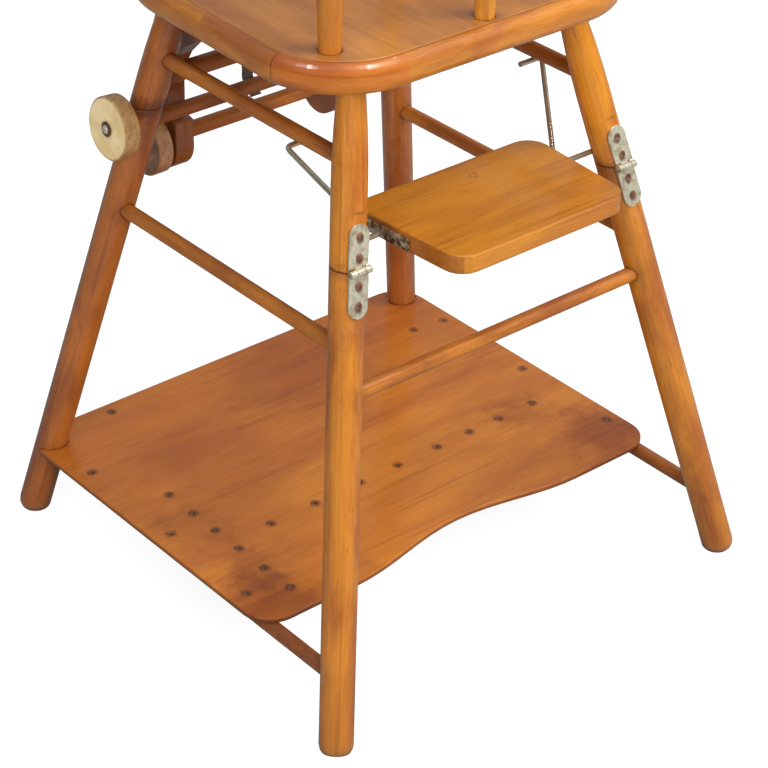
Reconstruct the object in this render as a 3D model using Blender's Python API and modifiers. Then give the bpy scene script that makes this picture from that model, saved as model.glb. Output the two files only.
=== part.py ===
"""Convertible wooden high chair, standing at full height.

Metres, +Z up, the front faces -Y and left means -X. The four legs are cut through below the seat. The
lower half, with its shelf, hangs on two strap hinges at the front legs. It swings down, forward and up
until its feet point upwards: the shelf is then a play table, and the low chair rolls on four wheels.
"""

from math import atan2, cos, pi, radians, sin

import bmesh
import bpy
from mathutils import Matrix, Vector

GAP = 0.0003  # between pieces that touch on the real chair
SIDES = (("left", -1), ("right", 1))

# Seat
SEAT_HALF_WIDTH = 0.191  # at the front
SEAT_FRONT = -0.1561
SEAT_REAR = 0.185
SEAT_CORNER = {"front": 0.082, "rear": 0.095}
SEAT_BOW = 0.0085  # how far the front edge bows out
SEAT_TAPER = 0.07  # how much narrower the rear is
SEAT_TOP = 0.589
SEAT_THICKNESS = 0.029
SEAT_UNDER = SEAT_TOP - SEAT_THICKNESS
SEAT_ROUNDING = 0.0110
SEAT_RING_WIDTH = 0.085
PANEL_INSET = 0.0095
PANEL_THICKNESS = 0.006
PANEL_ROUNDING = 0.0012

# Legs: straight axes from the feet to the seat's underside
FOOT = Vector((0.2425, 0.2400))
LEG_TOP_Z = 0.562
LEG_TOP_X = 0.1212
LEG_TOP_Y = {"front": -0.1060, "rear": 0.1303}
LEG_RADIUS = 0.0155
LEG_TOP_RADIUS = 0.0110
LEG_SOCKET_DEPTH = 0.010
CUT = {"front": 0.4118, "rear": 0.4458}

# Rails
RAIL_RADIUS = 0.0072
UPPER_SIDE_RAIL = 0.4930
LOWER_SIDE_RAIL = 0.3413
FRONT_RAIL = 0.3027
UPPER_REAR_RAIL = 0.4692
UPPER_REAR_RAIL_RADIUS = 0.0088
LOWER_REAR_RAIL = 0.4265
SHELF_RAIL = 0.0636
SHELF_RAIL_RADIUS = 0.0070
RAIL_STOP = 0.0060  # how far a rail's end stays from the axis of its leg

# Shelf
SHELF_TOP = 0.0755
SHELF_THICKNESS = 0.0045
SHELF_HALF_WIDTH = 0.2440
SHELF_FRONT = -0.1410
SHELF_REAR = 0.2465
SHELF_CORNER = {"front": 0.030, "rear": 0.034}
BELLY_HALF_SPAN = 0.140
BELLY_DEPTH = 0.020
BATTEN_Y = -0.020
BATTEN_SIZE = Vector((0.430, 0.022, 0.011))

# Strap hinges on the front legs
FLAT_DEPTH = 0.0019
LEAF_WIDTH = 0.0205
LEAF_LENGTH = 0.0403
LEAF_THICKNESS = 0.0018
BARREL_RADIUS = 0.0034
BARREL_MIDDLE = 0.0080
KNUCKLE_LENGTH = 0.0215
PIN_Z = 0.4125
PIN_RADIUS = 0.0016
PIN_HEIGHT = 0.0038  # pin axis above the planed flat
PIN_OVERHANG = 0.0012
HINGE_SCREWS = (0.0118, 0.0293)
SCREW_HEAD_RADIUS = 0.0038
SCREW_RADIUS = 0.0018
SCREW_LENGTH = 0.0110

# Wheels
WHEEL_RADIUS = 0.0298
WHEEL_WIDTH = 0.0165
WHEEL_CHAMFER = 0.0012
AXLE_RADIUS = 0.0026
TABLE_WHEEL_Z = 0.4315
TABLE_WHEEL_FACE = 0.1885
TABLE_WHEEL_TILT = radians(4)
COLLAR_RADIUS = 0.0060
SEAT_WHEEL_AXLE = Vector((0.1955, 0.3800))  # y, z
SEAT_WHEEL_FACE = 0.1255

# Arms that carry the seat's wheels
ARM_INNER = 0.0850
ARM_THICKNESS = 0.0200
ARM_FOOT_RADIUS = 0.0280
ARM_RAIL_RADIUS = 0.0078

# Footrest
FOOTREST_TOP = 0.4295
FOOTREST_THICKNESS = 0.0170
FOOTREST_FRONT = -0.2195
FOOTREST_REAR = -0.0860
FOOTREST_HALF_WIDTH = {"front": 0.0985, "rear": 0.1045}
FOOTREST_CORNER = 0.020
FOOTREST_PIVOT = Vector((-0.1305, 0.4210))  # y, z
SIDE_PLATE = Vector((0.0012, 0.0560, 0.0115))
SIDE_PLATE_PLACE = Vector((-0.1320, 0.4195))  # y, z of its centre
WIRE_RADIUS = 0.0025
WIRE_BEND = 0.0055
PROP_END = Vector((-0.0515, 0.4825))  # y, z of the ends that bear on the side rails

# Spring catch behind the lower rear rail
CATCH_WIDTH = 0.0125
CATCH_THICKNESS = 0.0012

# Posts, arm hoop and back
FRONT_POST = Vector((0.1437, -0.1050))
CENTRE_POST_Y = -0.1310
BACK_POST = Vector((0.1430, 0.1300))
BACK_TOP = Vector((0.1430, 0.1880, 0.9250))
POST_RADIUS = 0.0112
CENTRE_POST_RADIUS = 0.0103
POST_WAIST = 0.0017  # how much thinner a post is at its ends
POST_TENON = 0.0070
POST_SOCKET_DEPTH = 0.016
POST_SINK = 0.0025  # how deep a post's full width goes into the seat
HOOP_Z = 0.7750
HOOP_RADIUS = 0.0110
HOOP_HALF_WIDTH = 0.1570
HOOP_CORNER = 0.0656
BACK_PANEL_HEIGHT = 0.110
BACK_PANEL_THICKNESS = 0.007
BACK_PANEL_BOW = 0.030

COLOURS = {
    # name: (base colour, roughness, metallic)
    "varnished_beech": ((0.55, 0.22, 0.045), 0.30, 0.0),
    "seat_plywood": ((0.50, 0.19, 0.055), 0.28, 0.0),
    "shelf_plywood": ((0.42, 0.15, 0.040), 0.38, 0.0),
    "wheel_wood": ((0.72, 0.52, 0.26), 0.50, 0.0),
    "nickel_steel": ((0.52, 0.49, 0.40), 0.42, 1.0),
    "rusty_steel": ((0.19, 0.09, 0.05), 0.62, 0.7),
    "wire_steel": ((0.42, 0.38, 0.30), 0.35, 1.0),
}


# ---------------------------------------------------------------- scene and objects


def clear_scene():
    for item in list(bpy.data.objects):
        bpy.data.objects.remove(item, do_unlink=True)


def collection_for(name):
    made = bpy.data.collections.new(name)
    bpy.context.scene.collection.children.link(made)
    return made


def material_for(name):
    colour, roughness, metallic = COLOURS[name]
    made = bpy.data.materials.new(name)
    made.use_nodes = True
    shader = made.node_tree.nodes["Principled BSDF"]
    shader.inputs["Base Color"].default_value = (*colour, 1.0)
    shader.inputs["Roughness"].default_value = roughness
    shader.inputs["Metallic"].default_value = metallic
    return made


clear_scene()
CHAIR = collection_for("high_chair")
CUTTERS = collection_for("cutters")
MATERIALS = {name: material_for(name) for name in COLOURS}


def add_object(name, mesh, matrix=None, material="varnished_beech"):
    made = bpy.data.objects.new(name, mesh)
    made.matrix_world = matrix or Matrix.Identity(4)
    mesh.materials.append(MATERIALS[material])
    CHAIR.objects.link(made)
    return made


def as_cutter(made):
    CHAIR.objects.unlink(made)
    CUTTERS.objects.link(made)
    made.hide_render = True
    made.display_type = "WIRE"
    return made


def boolean(target, other, operation="DIFFERENCE"):
    modifier = target.modifiers.new(f"{operation.title()} {other.name}", "BOOLEAN")
    modifier.operation = operation
    modifier.object = other
    modifier.solver = "EXACT"


def bevel(target, width, segments=2, angle=40):
    modifier = target.modifiers.new("Bevel", "BEVEL")
    modifier.width = width
    modifier.segments = segments
    modifier.limit_method = "ANGLE"
    modifier.angle_limit = radians(angle)


def smooth(mesh):
    mesh.shade_smooth()
    mesh.set_sharp_from_angle(angle=radians(35))


def aim(start, end):
    """A frame at start whose Z axis points at end."""
    direction = Vector(end) - Vector(start)
    turn = direction.to_track_quat("Z", "Y").to_matrix().to_4x4()
    return Matrix.Translation(start) @ turn


def frame_of(origin, x_axis, y_axis, z_axis):
    made = Matrix((x_axis, y_axis, z_axis)).transposed().to_4x4()
    made.translation = origin
    return made


# ---------------------------------------------------------------- basic shapes


def rod(name, start, end, radius, segments=14, material="varnished_beech"):
    """A plain round bar from start to end."""
    length = (Vector(end) - Vector(start)).length
    mesh = bpy.data.meshes.new(name)
    shape = bmesh.new()
    bmesh.ops.create_cone(
        shape, cap_ends=True, segments=segments, radius1=radius, radius2=radius, depth=length
    )
    bmesh.ops.translate(shape, verts=shape.verts, vec=(0, 0, length / 2))
    shape.to_mesh(mesh)
    shape.free()
    smooth(mesh)
    return add_object(name, mesh, aim(start, end), material)


def box(name, centre, size, matrix=None, material="varnished_beech"):
    mesh = bpy.data.meshes.new(name)
    shape = bmesh.new()
    bmesh.ops.create_cube(shape, size=1.0)
    bmesh.ops.scale(shape, vec=size, verts=shape.verts)
    bmesh.ops.translate(shape, vec=centre, verts=shape.verts)
    shape.to_mesh(mesh)
    shape.free()
    return add_object(name, mesh, matrix, material)


def turned(name, profile, matrix, steps=20, closed=False, material="varnished_beech"):
    """A lathe-turned piece about its own Z axis. The profile is (radius, height), from top to bottom."""
    mesh = bpy.data.meshes.new(name)
    count = len(profile)
    edges = [(i, i + 1) for i in range(count - 1)]
    if closed:
        edges.append((count - 1, 0))
    mesh.from_pydata([(radius, 0, height) for radius, height in profile], edges, [])
    made = add_object(name, mesh, matrix, material)
    screw = made.modifiers.new("Screw", "SCREW")
    screw.steps = steps
    screw.render_steps = steps
    screw.use_merge_vertices = True
    screw.merge_threshold = 0.00001
    screw.use_smooth_shade = True
    return made


def mesh_from_curve(name, curve, matrix, material):
    """Turns a curve into a closed mesh object, so that Booleans and Bevel can work on it."""
    helper = bpy.data.objects.new(f"{name}_curve", curve)
    CHAIR.objects.link(helper)
    helper.matrix_world = matrix
    bpy.context.view_layer.update()
    evaluated = helper.evaluated_get(bpy.context.evaluated_depsgraph_get())
    mesh = bpy.data.meshes.new_from_object(evaluated)
    mesh.name = name
    mesh.materials.clear()
    bpy.data.objects.remove(helper, do_unlink=True)
    shape = bmesh.new()
    shape.from_mesh(mesh)
    bmesh.ops.remove_doubles(shape, verts=shape.verts, dist=0.00001)
    bmesh.ops.recalc_face_normals(shape, faces=shape.faces)
    shape.to_mesh(mesh)
    shape.free()
    smooth(mesh)
    return add_object(name, mesh, matrix, material)


def plate(name, outlines, thickness, matrix=None, material="varnished_beech"):
    """A flat piece with the given closed outlines, the first outside and the others holes. Centred on Z."""
    curve = bpy.data.curves.new(name, "CURVE")
    curve.dimensions = "2D"
    curve.fill_mode = "BOTH"
    curve.extrude = thickness / 2
    for outline in outlines:
        spline = curve.splines.new("POLY")
        spline.points.add(len(outline) - 1)
        for point, (x, y) in zip(spline.points, outline):
            point.co = (x, y, 0, 1)
        spline.use_cyclic_u = True
    return mesh_from_curve(name, curve, matrix or Matrix.Identity(4), material)


def bar(name, points, radius, resolution=2, material="varnished_beech"):
    """A round wire or bent rod through the given points."""
    curve = bpy.data.curves.new(name, "CURVE")
    curve.dimensions = "3D"
    curve.bevel_depth = radius
    curve.bevel_resolution = resolution
    curve.use_fill_caps = True
    spline = curve.splines.new("POLY")
    spline.points.add(len(points) - 1)
    for point, place in zip(spline.points, points):
        point.co = (*place, 1)
    return mesh_from_curve(name, curve, Matrix.Identity(4), material)


# ---------------------------------------------------------------- outlines


def arc(centre, radius, start, end, count):
    """Points on a circle from one angle to another, in degrees."""
    angles = [radians(start + (end - start) * i / (count - 1)) for i in range(count)]
    return [(centre[0] + radius * cos(a), centre[1] + radius * sin(a)) for a in angles]


def rounded_box(half_width, front, rear, front_corner, rear_corner, count=14):
    """A rounded rectangle, counter-clockwise from its front right corner."""
    front_x = half_width - front_corner
    rear_x = half_width - rear_corner
    low = front + front_corner
    high = rear - rear_corner
    return (
        arc((front_x, low), front_corner, -90, 0, count)
        + arc((rear_x, high), rear_corner, 0, 90, count)
        + arc((-rear_x, high), rear_corner, 90, 180, count)
        + arc((-front_x, low), front_corner, 180, 270, count)
    )


def bent(points, radius, count=5):
    """The path through the points with each inner corner rounded by an arc of about this radius."""
    points = [Vector(p) for p in points]
    path = [points[0]]
    for before, corner, after in zip(points, points[1:], points[2:]):
        to_before = (before - corner).normalized()
        to_after = (after - corner).normalized()
        start = corner + to_before * radius
        end = corner + to_after * radius
        for i in range(count):
            t = i / (count - 1)
            path.append(start * (1 - t) ** 2 + corner * 2 * t * (1 - t) + end * t**2)
    path.append(points[-1])
    return path


# ---------------------------------------------------------------- legs and rails


def leg_point(end, side, height):
    """The point at this height on the axis of a leg."""
    along = height / LEG_TOP_Z
    foot_y = -FOOT.y if end == "front" else FOOT.y
    x = FOOT.x + (LEG_TOP_X - FOOT.x) * along
    y = foot_y + (LEG_TOP_Y[end] - foot_y) * along
    return Vector((side * x, y, height))


def leg_direction(end, side):
    return (leg_point(end, side, LEG_TOP_Z) - leg_point(end, side, 0)).normalized()


def leg_profile(end, side):
    """(radius, distance from the foot) of the whole leg, from the seat down."""
    rise = leg_direction(end, side).z
    top = SEAT_UNDER + LEG_SOCKET_DEPTH
    taper = [
        (0, top),
        (LEG_TOP_RADIUS - 0.0004, top),
        (LEG_TOP_RADIUS, SEAT_UNDER - 0.002),
        (0.0128, 0.540),
        (0.0143, 0.518),
        (0.0152, 0.497),
        (LEG_RADIUS, 0.474),
        (LEG_RADIUS, 0.006),
        (0.0148, 0.002),
        (0.0130, -0.001),
        (0, -0.002),
    ]
    return [(radius, height / rise) for radius, height in taper]


def half_space(name, height, above):
    """A cutter that takes everything above, or below, this height."""
    size = 0.7
    centre = height + size / 2 if above else height - size / 2
    return as_cutter(box(name, (0, 0, centre), (1.2, 1.2, size)))


FLOOR_CUT = half_space("below_floor", 0.0, above=False)


def make_leg(end, side_name, side):
    """The upper and lower half of one turned leg, with a gap at the cut."""
    frame = aim(leg_point(end, side, 0), leg_point(end, side, SEAT_UNDER))
    halves = {}
    for half in ("upper", "lower"):
        name = f"{end}_leg_{half}_{side_name}"
        halves[half] = turned(name, leg_profile(end, side), frame)
        boolean(halves[half], LEG_CUTS[end, half])
    boolean(halves["lower"], FLOOR_CUT)
    return halves


LEG_CUTS = {}
for end, height in CUT.items():
    LEG_CUTS[end, "upper"] = half_space(f"{end}_upper_end", height + GAP, above=False)
    LEG_CUTS[end, "lower"] = half_space(f"{end}_lower_end", height - GAP, above=True)
LEGS = {}
for side_name, side in SIDES:
    for end in CUT:
        halves = make_leg(end, side_name, side)
        for half, made in halves.items():
            LEGS[end, half, side] = made


def rail(name, start, end, radius, sockets):
    """A round rail between two points on leg axes, and the sockets that it sits in."""
    direction = (end - start).normalized()
    start = start + direction * RAIL_STOP
    end = end - direction * RAIL_STOP
    made = rod(name, start, end, radius)
    cutter = rod(f"{name}_socket", start - direction * GAP, end + direction * GAP, radius + GAP)
    as_cutter(cutter)
    for target in sockets:
        boolean(target, cutter)
    return made


def make_side_rails(side_name, side):
    for name, height, half in (
        (f"upper_side_rail_{side_name}", UPPER_SIDE_RAIL, "upper"),
        (f"lower_side_rail_{side_name}", LOWER_SIDE_RAIL, "lower"),
        (f"shelf_rail_{side_name}", SHELF_RAIL, "lower"),
    ):
        radius = SHELF_RAIL_RADIUS if height == SHELF_RAIL else RAIL_RADIUS
        sockets = [LEGS["front", half, side], LEGS["rear", half, side]]
        rail(name, leg_point("front", side, height), leg_point("rear", side, height), radius, sockets)


def make_cross_rails():
    for name, height, end, half, radius in (
        ("front_rail", FRONT_RAIL, "front", "lower", RAIL_RADIUS),
        ("lower_rear_rail", LOWER_REAR_RAIL, "rear", "lower", RAIL_RADIUS),
        ("upper_rear_rail", UPPER_REAR_RAIL, "rear", "upper", UPPER_REAR_RAIL_RADIUS),
    ):
        sockets = [LEGS[end, half, -1], LEGS[end, half, 1]]
        rail(name, leg_point(end, -1, height), leg_point(end, 1, height), radius, sockets)


# ---------------------------------------------------------------- seat


def seat_shape(outline):
    """The outline with the seat's bowed front and narrower rear."""
    shaped = []
    for x, y in outline:
        back = (y - SEAT_FRONT) / (SEAT_REAR - SEAT_FRONT)
        bow = SEAT_BOW * (x / SEAT_HALF_WIDTH) ** 2 * (1 - back)
        shaped.append((x * (1 - SEAT_TAPER * back), y + bow))
    return shaped


def seat_outline(inset):
    return seat_shape(
        rounded_box(
            SEAT_HALF_WIDTH - inset,
            SEAT_FRONT + inset,
            SEAT_REAR - inset,
            SEAT_CORNER["front"] - inset,
            SEAT_CORNER["rear"] - inset,
        )
    )


def rim_rings():
    """Outlines round the rim's cross-section: up its rounded outside, then down the opening."""
    angles = [radians(90 * i / 5) for i in range(6)]
    turns = [(1 - cos(a), 1 - sin(a)) for a in angles]
    low = [(SEAT_ROUNDING * inward, SEAT_UNDER + SEAT_ROUNDING * up) for inward, up in reversed(turns)]
    high = [(SEAT_ROUNDING * inward, SEAT_TOP - SEAT_ROUNDING * down) for inward, down in turns]
    rings = [[(x, y, z) for x, y in seat_outline(inset)] for inset, z in low + high]
    width = SEAT_RING_WIDTH
    opening = rounded_box(
        SEAT_HALF_WIDTH - width, SEAT_FRONT + width, SEAT_REAR - width, 0.030, 0.030
    )
    for z in (SEAT_TOP, SEAT_UNDER):
        rings.append([(x, y, z) for x, y in seat_shape(opening)])
    return rings


def looped(name, rings):
    """A closed ring-shaped piece: each outline is joined to the next, and the last to the first."""
    mesh = bpy.data.meshes.new(name)
    shape = bmesh.new()
    loops = [[shape.verts.new(place) for place in ring] for ring in rings]
    for near, far in zip(loops, loops[1:] + loops[:1]):
        for i in range(len(near)):
            j = (i + 1) % len(near)
            shape.faces.new((near[i], near[j], far[j], far[i]))
    bmesh.ops.recalc_face_normals(shape, faces=shape.faces)
    shape.to_mesh(mesh)
    shape.free()
    smooth(mesh)
    return add_object(name, mesh)


def make_seat():
    """The bent rim, and the plywood panel let into its top."""
    rim = looped("seat_rim", rim_rings())

    depth = PANEL_THICKNESS + GAP
    recess = plate(
        "panel_recess", [seat_outline(PANEL_INSET - GAP)], 2 * depth, Matrix.Translation((0, 0, SEAT_TOP))
    )
    boolean(rim, as_cutter(recess))

    centre = Matrix.Translation((0, 0, SEAT_TOP - PANEL_THICKNESS / 2))
    panel = plate("seat_panel", [seat_outline(PANEL_INSET)], PANEL_THICKNESS, centre, "seat_plywood")
    bevel(panel, PANEL_ROUNDING, segments=2)

    for side_name, side in SIDES:
        for end in CUT:
            start = leg_point(end, side, SEAT_UNDER - 0.01)
            stop = leg_point(end, side, SEAT_UNDER + LEG_SOCKET_DEPTH + GAP)
            socket = rod(f"{end}_leg_socket_{side_name}", start, stop, LEG_TOP_RADIUS + GAP, segments=20)
            boolean(rim, as_cutter(socket))
    return rim, panel


# ---------------------------------------------------------------- posts, arm hoop and back


def post_profile(radius, length, low, high):
    """A post that swells in the middle, with thinner tenons below and above."""
    neck = radius - POST_WAIST
    return [
        (0, length + high),
        (POST_TENON, length + high),
        (POST_TENON, length),
        (neck, length),
        (radius, length * 0.72),
        (radius, length * 0.28),
        (neck, 0),
        (POST_TENON, 0),
        (POST_TENON, -low),
        (0, -low),
    ]


def make_post(name, base, top, radius, tenon, rim, panel):
    """A post standing in the seat. Its upper tenon reaches beyond top."""
    axis = (top - base).normalized()
    foot = base - axis * POST_SINK
    length = (top - foot).length
    made = turned(name, post_profile(radius, length, POST_SOCKET_DEPTH, tenon), aim(foot, top), steps=16)
    below = foot - axis * (POST_SOCKET_DEPTH + GAP)
    socket = rod(f"{name}_socket", below, base + axis * 0.01, POST_TENON + GAP, segments=16)
    as_cutter(socket)
    boolean(rim, socket)
    boolean(panel, socket)
    neck = radius - POST_WAIST + GAP
    counterbore = rod(f"{name}_counterbore", foot - axis * GAP, base + axis * 0.02, neck + GAP, segments=16)
    boolean(panel, as_cutter(counterbore))
    return made


def hoop_path(rear_x, rear_y):
    """Half of the arm hoop's centre line, from the middle of the front to its rear end."""
    corner = (HOOP_HALF_WIDTH - HOOP_CORNER, CENTRE_POST_Y + HOOP_CORNER)
    path = [(0.0, CENTRE_POST_Y)] + arc(corner, HOOP_CORNER, -90, 0, 9)
    bend_start = 0.045
    bend_end = rear_y - 0.018
    for i in range(6):
        along = i / 5
        ease = (1 - cos(pi * along)) / 2
        x = HOOP_HALF_WIDTH + (rear_x - HOOP_HALF_WIDTH) * ease
        path.append((x, bend_start + (bend_end - bend_start) * along))
    return path + [(rear_x, rear_y)]


def make_posts_and_hoop(rim, panel):
    rear_posts = {}
    for side_name, side in SIDES:
        base = Vector((side * BACK_POST.x, BACK_POST.y, SEAT_TOP))
        top = Vector((side * BACK_TOP.x, BACK_TOP.y, BACK_TOP.z))
        rear_posts[side] = make_post(f"back_post_{side_name}", base, top, POST_RADIUS, 0.003, rim, panel)
    along = (HOOP_Z - SEAT_TOP) / (BACK_TOP.z - SEAT_TOP)
    rear_y = BACK_POST.y + (BACK_TOP.y - BACK_POST.y) * along - 0.003
    half = hoop_path(BACK_POST.x, rear_y)
    path = [(-x, y) for x, y in reversed(half[1:])] + half
    hoop = bar("arm_hoop", [(x, y, HOOP_Z) for x, y in path], HOOP_RADIUS, resolution=4)
    for side_name, side in SIDES:
        start = Vector((side * BACK_POST.x, rear_y - 0.04, HOOP_Z))
        stop = Vector((side * BACK_POST.x, rear_y + GAP, HOOP_Z))
        socket = rod(f"back_post_hoop_socket_{side_name}", start, stop, HOOP_RADIUS + 2 * GAP, 16)
        boolean(rear_posts[side], as_cutter(socket))

    under_hoop = HOOP_Z - HOOP_RADIUS - GAP
    into_hoop = 0.009
    for name, x, y, radius in (
        ("front_post_left", -FRONT_POST.x, FRONT_POST.y, POST_RADIUS),
        ("front_post_right", FRONT_POST.x, FRONT_POST.y, POST_RADIUS),
        ("front_centre_post", 0.0, CENTRE_POST_Y, CENTRE_POST_RADIUS),
    ):
        base = Vector((x, y, SEAT_TOP))
        top = Vector((x, y, under_hoop))
        make_post(name, base, top, radius, into_hoop, rim, panel)
        below = top - Vector((0, 0, 0.01))
        above = top + Vector((0, 0, into_hoop + GAP))
        socket = rod(f"{name}_hoop_socket", below, above, POST_TENON + GAP, 16)
        boolean(hoop, as_cutter(socket))
    axis_base = Vector((BACK_POST.x, BACK_POST.y, SEAT_TOP))
    make_back_panel((axis_base, Vector(BACK_TOP)))


def make_back_panel(axis):
    """A bowed plywood back, fixed to the front of the two back posts."""
    base, top = axis
    centre = base.lerp(top, 0.78)
    lean = (top - base).normalized()
    up = Vector((0, lean.y, lean.z)).normalized()
    forward = Vector((0, -up.z, up.y))
    half = centre.x + POST_RADIUS
    radius = (half**2 + BACK_PANEL_BOW**2) / (2 * BACK_PANEL_BOW)
    reach = 180 * (half / radius) / pi
    outer = arc((0, BACK_PANEL_BOW - radius), radius, 90 - reach, 90 + reach, 13)
    inner = arc((0, BACK_PANEL_BOW - radius), radius - BACK_PANEL_THICKNESS, 90 + reach, 90 - reach, 13)
    clearance = POST_RADIUS + BACK_PANEL_BOW * 0.28 + 0.0015
    origin = Vector((0, centre.y, centre.z)) + forward * clearance
    frame = frame_of(origin, Vector((1, 0, 0)), -forward, up)
    panel = plate("back_panel", [outer + inner], BACK_PANEL_HEIGHT, frame, "seat_plywood")
    bevel(panel, 0.002, segments=1, angle=60)


# ---------------------------------------------------------------- strap hinges


def hinge_frame(side):
    """Origin on the hinge pin: X along the leaf's width, Y up the leg, Z out of the leaf."""
    up = leg_direction("front", side)
    out = Vector((0, -up.z, up.y)).normalized()
    across = up.cross(out).normalized()
    reach = LEG_RADIUS - FLAT_DEPTH + PIN_HEIGHT
    on_axis = leg_point("front", side, PIN_Z - reach * out.z)
    return frame_of(on_axis + out * reach, across, up, out)


def leaf_outline(direction, turn):
    """One strap: a knuckle end square to the pin, notched for the other strap's barrels, and a round end."""
    half = LEAF_WIDTH / 2
    clear = BARREL_RADIUS + 2 * GAP
    near = 0.0012
    own = BARREL_MIDDLE / 2
    if direction > 0:
        knuckle = ((-half, clear), (-own + GAP, clear), (-own + GAP, near))
        knuckle += ((own - GAP, near), (own - GAP, clear), (half, clear))
    else:
        knuckle = ((-half, near), (-own - GAP, near), (-own - GAP, clear))
        knuckle += ((own + GAP, clear), (own + GAP, near), (half, near))
    square = Matrix.Rotation(turn, 2)
    knuckle = [tuple(square @ Vector((x, direction * y))) for x, y in knuckle]
    tip = [(x, direction * y) for x, y in arc((0, LEAF_LENGTH - half), half, 0, 180, 9)]
    return knuckle + tip


def make_leaf(name, side, direction, leg):
    frame = hinge_frame(side)
    # The straps follow the splayed leg, but both pins lie on one line across the chair.
    pin_axis = Vector((1, 0, 0))
    local_pin = frame.inverted().to_3x3() @ pin_axis
    turn = atan2(local_pin.y, local_pin.x)
    height = GAP + LEAF_THICKNESS / 2 - PIN_HEIGHT
    leaf = plate(
        name,
        [leaf_outline(direction, turn)],
        LEAF_THICKNESS,
        frame @ Matrix.Translation((0, 0, height)),
        "nickel_steel",
    )
    own = BARREL_MIDDLE / 2
    end = KNUCKLE_LENGTH / 2
    if direction > 0:
        barrels = ((-own + GAP, own - GAP),)
    else:
        barrels = ((-end, -own - GAP), (own + GAP, end))
    centre = frame.translation
    for number, (start, stop) in enumerate(barrels):
        ends = centre + pin_axis * start, centre + pin_axis * stop
        barrel = rod(f"{name}_barrel_{number}", *ends, BARREL_RADIUS)
        boolean(leaf, as_cutter(barrel), "UNION")
    bore = rod(f"{name}_bore", centre - pin_axis * 0.02, centre + pin_axis * 0.02, PIN_RADIUS + GAP)
    boolean(leaf, as_cutter(bore))

    # The planed flat that the strap lies on
    flat = box(
        f"{name}_flat",
        (0, direction * 0.020, 0.010 - PIN_HEIGHT),
        (0.040, 0.058, 0.020),
        frame,
    )
    boolean(leg, as_cutter(flat))

    out = frame.to_3x3() @ Vector((0, 0, 1))
    for number, along in enumerate(HINGE_SCREWS, start=1):
        place = frame @ Vector((0, direction * along, height + LEAF_THICKNESS / 2))
        hole = rod(f"{name}_hole_{number}", place + out * 0.002, place - out * 0.020, SCREW_RADIUS + GAP, 10)
        boolean(leaf, as_cutter(hole))
        boolean(leg, hole)
        side_name = "left" if side < 0 else "right"
        level = "upper" if direction > 0 else "lower"
        make_hinge_screw(f"hinge_screw_{level}_{side_name}_{number}", place, out)


def make_hinge_screw(name, place, out):
    """A round-head wood screw, its head just clear of the strap."""
    head = SCREW_HEAD_RADIUS
    profile = [
        (0, 0.0010),
        (head * 0.62, 0.0008),
        (head, GAP + 0.0001),
        (head, GAP),
        (SCREW_RADIUS, GAP),
        (SCREW_RADIUS, -SCREW_LENGTH * 0.8),
        (0, -SCREW_LENGTH),
    ]
    turned(name, profile, aim(place, place + out), steps=12, material="rusty_steel")


def make_hinges():
    for side_name, side in SIDES:
        for level, direction in (("upper", 1), ("lower", -1)):
            make_leaf(f"hinge_leaf_{level}_{side_name}", side, direction, LEGS["front", level, side])
        centre = hinge_frame(side).translation
        start = centre - Vector((KNUCKLE_LENGTH / 2 + 0.001, 0, 0))
        stop = centre + Vector((KNUCKLE_LENGTH / 2 + PIN_OVERHANG, 0, 0))
        length = (stop - start).length
        profile = [
            (0, length),
            (PIN_RADIUS * 0.8, length),
            (PIN_RADIUS, length - 0.0008),
            (PIN_RADIUS, 0.0008),
            (PIN_RADIUS * 0.8, 0),
            (0, 0),
        ]
        turned(f"hinge_pin_{side_name}", profile, aim(start, stop), steps=12, material="nickel_steel")


# ---------------------------------------------------------------- shelf


def shelf_outline():
    """The play table's outline: round corners, and a shallow belly cut-out at the front."""
    corner = SHELF_CORNER["front"]
    x = SHELF_HALF_WIDTH - corner
    y = SHELF_FRONT + corner
    belly = []
    steps = 16
    for i in range(steps + 1):
        across = BELLY_HALF_SPAN * (2 * i / steps - 1)
        depth = BELLY_DEPTH * cos(pi / 2 * across / BELLY_HALF_SPAN) ** 2
        belly.append((across, SHELF_FRONT + depth))
    front = arc((-x, y), corner, 180, 270, 8) + belly + arc((x, y), corner, -90, 0, 8)
    corner = SHELF_CORNER["rear"]
    x = SHELF_HALF_WIDTH - corner
    y = SHELF_REAR - corner
    return front + arc((x, y), corner, 0, 90, 8) + arc((-x, y), corner, 90, 180, 8)


def make_shelf():
    """The play table, its rear corners notched for the legs."""
    middle = SHELF_TOP - SHELF_THICKNESS / 2
    frame = Matrix.Translation((0, 0, middle))
    shelf = plate("shelf", [shelf_outline()], SHELF_THICKNESS, frame, "shelf_plywood")
    for side_name, side in SIDES:
        low = leg_point("rear", side, SHELF_TOP - 0.03)
        high = leg_point("rear", side, SHELF_TOP + 0.03)
        notch = rod(f"shelf_notch_{side_name}", low, high, LEG_RADIUS + 2 * GAP, segments=24)
        boolean(shelf, as_cutter(notch))
    box(
        "shelf_batten",
        (0, BATTEN_Y, SHELF_TOP - SHELF_THICKNESS - GAP - BATTEN_SIZE.z / 2),
        BATTEN_SIZE,
    )


# ---------------------------------------------------------------- wheels


def wheel_profile():
    bore = AXLE_RADIUS + 0.0004
    half = WHEEL_WIDTH / 2
    edge = WHEEL_CHAMFER
    return [
        (bore, half),
        (WHEEL_RADIUS - edge, half),
        (WHEEL_RADIUS, half - edge),
        (WHEEL_RADIUS, -half + edge),
        (WHEEL_RADIUS - edge, -half),
        (bore, -half),
    ]


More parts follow.
